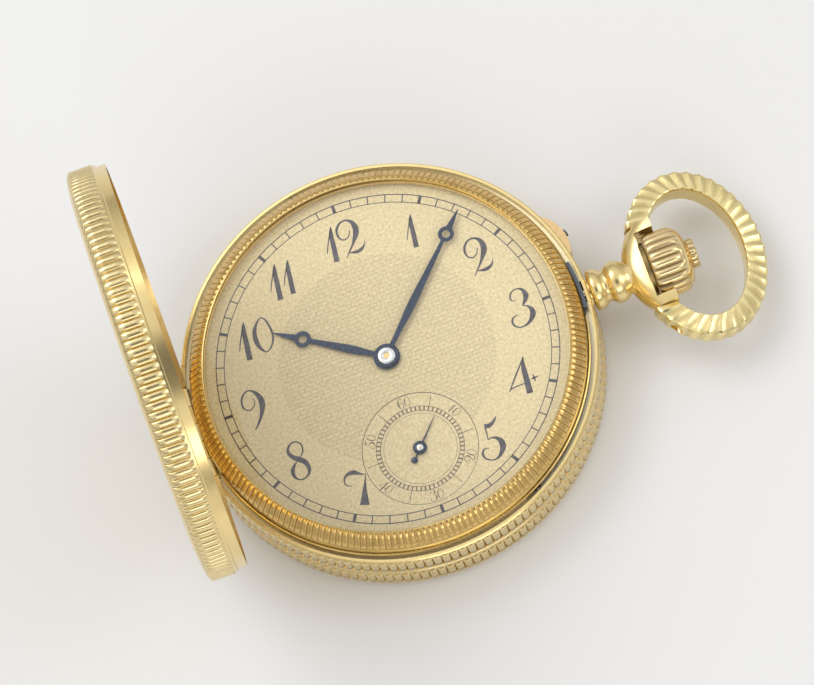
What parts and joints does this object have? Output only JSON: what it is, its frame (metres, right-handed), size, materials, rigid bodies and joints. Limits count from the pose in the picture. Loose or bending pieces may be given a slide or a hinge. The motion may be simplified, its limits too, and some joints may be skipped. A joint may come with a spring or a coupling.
{
  "type": "hunter pocket watch",
  "caption": "Full hunter pocket watch with reeded gold case, open front cover, seconds sub-dial, blued hands, fluted bow and a working geared movement.",
  "frame": {"origin": "centre of the flat back, on which the watch lies", "axes": "+Z out through the dial, +X to the crown at three, +Y to twelve"},
  "size_m": [0.0743, 0.05, 0.0571],
  "materials": {
    "gold": "polished gold with reeded edges",
    "rose_gold": "polished rose gold",
    "crystal": "clear, polished",
    "steel": "brushed",
    "blued": "heat-blued, polished",
    "plate": "frosted gilt",
    "brass": "brushed",
    "ruby": "polished stone",
    "dial": "grained gold-coloured dial"
  },
  "bodies": {
    "case": {"case_middle": "gold", "pendant": "gold", "bezel": "gold", "crystal": "crystal", "front_hinge_pin": "gold", "back_hinge_pin": "gold", "cuvette_hinge_pin": "gold", "lift_spring": "steel", "spring_screws": "steel", "bow_screws": "gold", "olivette": "gold", "main_plate": "plate", "barrel_bridge": "plate", "train_bridge": "plate", "balance_cock": "plate", "pallet_cock": "plate", "bridge_screws": "blued", "case_screws": "blued", "jewels": "ruby", "click_spring": "steel", "hairspring": "blued", "hairspring_stud": "steel", "dial": "dial"},
    "front_cover": {"front_cover": "gold"},
    "back_cover": {"back_cover": "gold"},
    "cuvette": {"cuvette": "gold"},
    "lock_spring": {"lock_spring": "steel"},
    "bow": {"bow": "gold"},
    "winding_arbor": {"winding_stem": "steel", "winding_pinion": "steel"},
    "crown": {"crown": "rose_gold"},
    "clutch_wheel": {"clutch_wheel": "steel"},
    "setting_pin": {"setting_pin": "steel"},
    "setting_lever": {"setting_lever": "steel"},
    "setting_wheel": {"setting_wheel": "steel"},
    "ratchet": {"barrel_arbor": "steel", "ratchet_wheel": "steel"},
    "crown_wheel": {"crown_wheel": "steel"},
    "click": {"click": "steel"},
    "barrel": {"barrel": "brass", "barrel_cover": "brass", "mainspring": "steel"},
    "minute": {"centre_wheel": "brass", "cannon_pinion": "steel", "minute_hand": "blued"},
    "third": {"third_wheel": "brass"},
    "seconds": {"fourth_wheel": "brass", "seconds_hand": "blued"},
    "escape": {"escape_wheel": "steel"},
    "minute_work": {"minute_wheel": "brass"},
    "hour": {"hour_wheel": "brass", "hour_hand": "blued"},
    "pallet_fork": {"pallet_fork": "steel"},
    "balance": {"balance_wheel": "brass"},
    "regulator": {"regulator": "steel"}
  },
  "joints": [
    {"name": "front_cover_hinge", "type": "hinge", "parent": "case", "child": "front_cover", "pos_m": [-0.024, 0, 0.0083], "axis": [0, 1, 0], "range_deg": [0, 87], "stiffness_Nm_per_rad": 0.001, "springref_deg": -28.65},
    {"name": "back_cover_hinge", "type": "hinge", "parent": "case", "child": "back_cover", "pos_m": [-0.024, 0, 0.0057], "axis": [0, 1, 0], "range_deg": [0, 85]},
    {"name": "cuvette_hinge", "type": "hinge", "parent": "case", "child": "cuvette", "pos_m": [-0.02315, 0, 0.00545], "axis": [0, 1, 0], "range_deg": [0, 59.5]},
    {"name": "lock_spring_flex", "type": "hinge", "parent": "case", "child": "lock_spring", "pos_m": [0.01116, -0.021, 0.0081], "axis": [0, 0, 1], "range_deg": [0, 1.36]},
    {"name": "bow_hinge", "type": "hinge", "parent": "case", "child": "bow", "pos_m": [0.0331, 0, 0.0068], "axis": [0, 1, 0], "range_deg": [-80, 50]},
    {"name": "winding_turn", "type": "hinge", "parent": "case", "child": "winding_arbor", "pos_m": [0, 0, 0.0068], "axis": [1, 0, 0], "continuous": true},
    {"name": "crown_push", "type": "slide", "parent": "winding_arbor", "child": "crown", "axis": [-1, 0, 0], "range_m": [0, 0.0005], "stiffness_N_per_m": 1500, "springref_m": -0.0003},
    {"name": "clutch_slide", "type": "slide", "parent": "winding_arbor", "child": "clutch_wheel", "axis": [-1, 0, 0], "range_m": [0, 0.0006292]},
    {"name": "setting_pin_slide", "type": "slide", "parent": "case", "child": "setting_pin", "axis": [-0.9511, -0.309, 0], "range_m": [0, 0.0004], "stiffness_N_per_m": 400, "springref_m": -0.0003},
    {"name": "setting_lever_pivot", "type": "hinge", "parent": "case", "child": "setting_lever", "pos_m": [0.0135, 0.009, 0.0068], "axis": [0, 0, 1], "range_deg": [-5.22, 0]},
    {"name": "crown_wheel_turn", "type": "hinge", "parent": "case", "child": "crown_wheel", "pos_m": [0.01137, 0, 0.0039], "axis": [0, 0, 1], "continuous": true},
    {"name": "ratchet_turn", "type": "hinge", "parent": "case", "child": "ratchet", "pos_m": [0.00256, 0.00956, 0.0039], "axis": [0, 0, 1], "continuous": true},
    {"name": "click_pivot", "type": "hinge", "parent": "case", "child": "click", "pos_m": [-0.00768, 0.01231, 0.0039], "axis": [0, 0, 1], "range_deg": [-8, 0], "stiffness_Nm_per_rad": 0.00002, "springref_deg": 11.46},
    {"name": "minute_turn", "type": "hinge", "parent": "case", "child": "minute", "pos_m": [0, 0, 0.01], "axis": [0, 0, -1], "continuous": true},
    {"name": "third_turn", "type": "hinge", "parent": "case", "child": "third", "pos_m": [0.00334, -0.00688, 0.0053], "axis": [0, 0, -1], "continuous": true},
    {"name": "seconds_turn", "type": "hinge", "parent": "case", "child": "seconds", "pos_m": [0, -0.01206, 0.0053], "axis": [0, 0, -1], "continuous": true},
    {"name": "escape_turn", "type": "hinge", "parent": "case", "child": "escape", "pos_m": [-0.0052, -0.01298, 0.0053], "axis": [0, 0, -1], "continuous": true},
    {"name": "barrel_turn", "type": "hinge", "parent": "case", "child": "barrel", "pos_m": [0.00256, 0.00956, 0.0053], "axis": [0, 0, -1], "continuous": true},
    {"name": "minute_work_turn", "type": "hinge", "parent": "case", "child": "minute_work", "pos_m": [0.00406, -0.00148, 0.0095], "axis": [0, 0, -1], "continuous": true},
    {"name": "setting_wheel_turn", "type": "hinge", "parent": "case", "child": "setting_wheel", "pos_m": [0.00981, 0, 0.0095], "axis": [0, 0, -1], "continuous": true},
    {"name": "hour_turn", "type": "hinge", "parent": "case", "child": "hour", "pos_m": [0, 0, 0.01], "axis": [0, 0, -1], "continuous": true},
    {"name": "pallet_swing", "type": "hinge", "parent": "case", "child": "pallet_fork", "pos_m": [-0.00733, -0.01084, 0.0053], "axis": [0, 0, 1], "range_deg": [-3, 3]},
    {"name": "balance_swing", "type": "hinge", "parent": "case", "child": "balance", "pos_m": [-0.01101, -0.00717, 0.0053], "axis": [0, 0, 1], "range_deg": [-150, 150], "stiffness_Nm_per_rad": 0.0000003},
    {"name": "regulator_turn", "type": "hinge", "parent": "case", "child": "regulator", "pos_m": [-0.01101, -0.00717, 0.0039], "axis": [0, 0, 1], "range_deg": [-25, 25]}
  ],
  "couplings": [
    {"joint": "cuvette_hinge", "follows": "back_cover_hinge", "ratio": 0.7},
    {"joint": "lock_spring_flex", "follows": "crown_push", "rad_per_m": 47.627},
    {"joint": "clutch_slide", "follows": "setting_pin_slide", "ratio": 1.5725},
    {"joint": "setting_lever_pivot", "follows": "setting_pin_slide", "rad_per_m": -227.91},
    {"joint": "crown_wheel_turn", "follows": "winding_turn", "ratio": 0.45},
    {"joint": "ratchet_turn", "follows": "winding_turn", "ratio": -0.28125},
    {"joint": "third_turn", "follows": "minute_turn", "ratio": -8},
    {"joint": "seconds_turn", "follows": "minute_turn", "ratio": 60},
    {"joint": "escape_turn", "follows": "minute_turn", "ratio": -600},
    {"joint": "barrel_turn", "follows": "minute_turn", "ratio": -0.125},
    {"joint": "minute_work_turn", "follows": "minute_turn", "ratio": -0.33333},
    {"joint": "setting_wheel_turn", "follows": "minute_turn", "ratio": 0.4},
    {"joint": "hour_turn", "follows": "minute_turn", "ratio": 0.083333}
  ]
}
